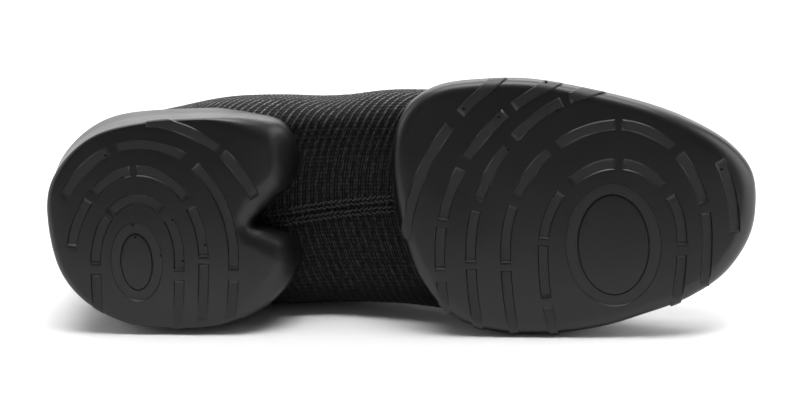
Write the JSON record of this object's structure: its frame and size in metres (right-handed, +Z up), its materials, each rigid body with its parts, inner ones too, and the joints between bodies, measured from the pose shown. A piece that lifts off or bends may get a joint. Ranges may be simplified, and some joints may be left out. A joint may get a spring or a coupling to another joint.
{
  "type": "dance sneaker",
  "caption": "Low split-sole dance sneaker for the right foot, lying on its side: knit upper, heel and forefoot sole pods with ringed tread bars and bare oval badges.",
  "frame": {"origin": "centre of the bounding box, on the floor the shoe lies on", "axes": "+X from heel to toe, +Z up from the floor and close to the shoe's lateral direction, treads towards -Y, collar towards +Y"},
  "size_m": [0.2666, 0.098, 0.0956],
  "materials": {
    "knit": "ribbed black knit, matt",
    "sole_rubber": "moulded black rubber, satin",
    "insole_foam": "dark covered foam, matt"
  },
  "bodies": {
    "root": {"upper": "knit", "heel_sole": "sole_rubber", "forefoot_sole": "sole_rubber", "insole": "insole_foam"}
  },
  "joints": []
}
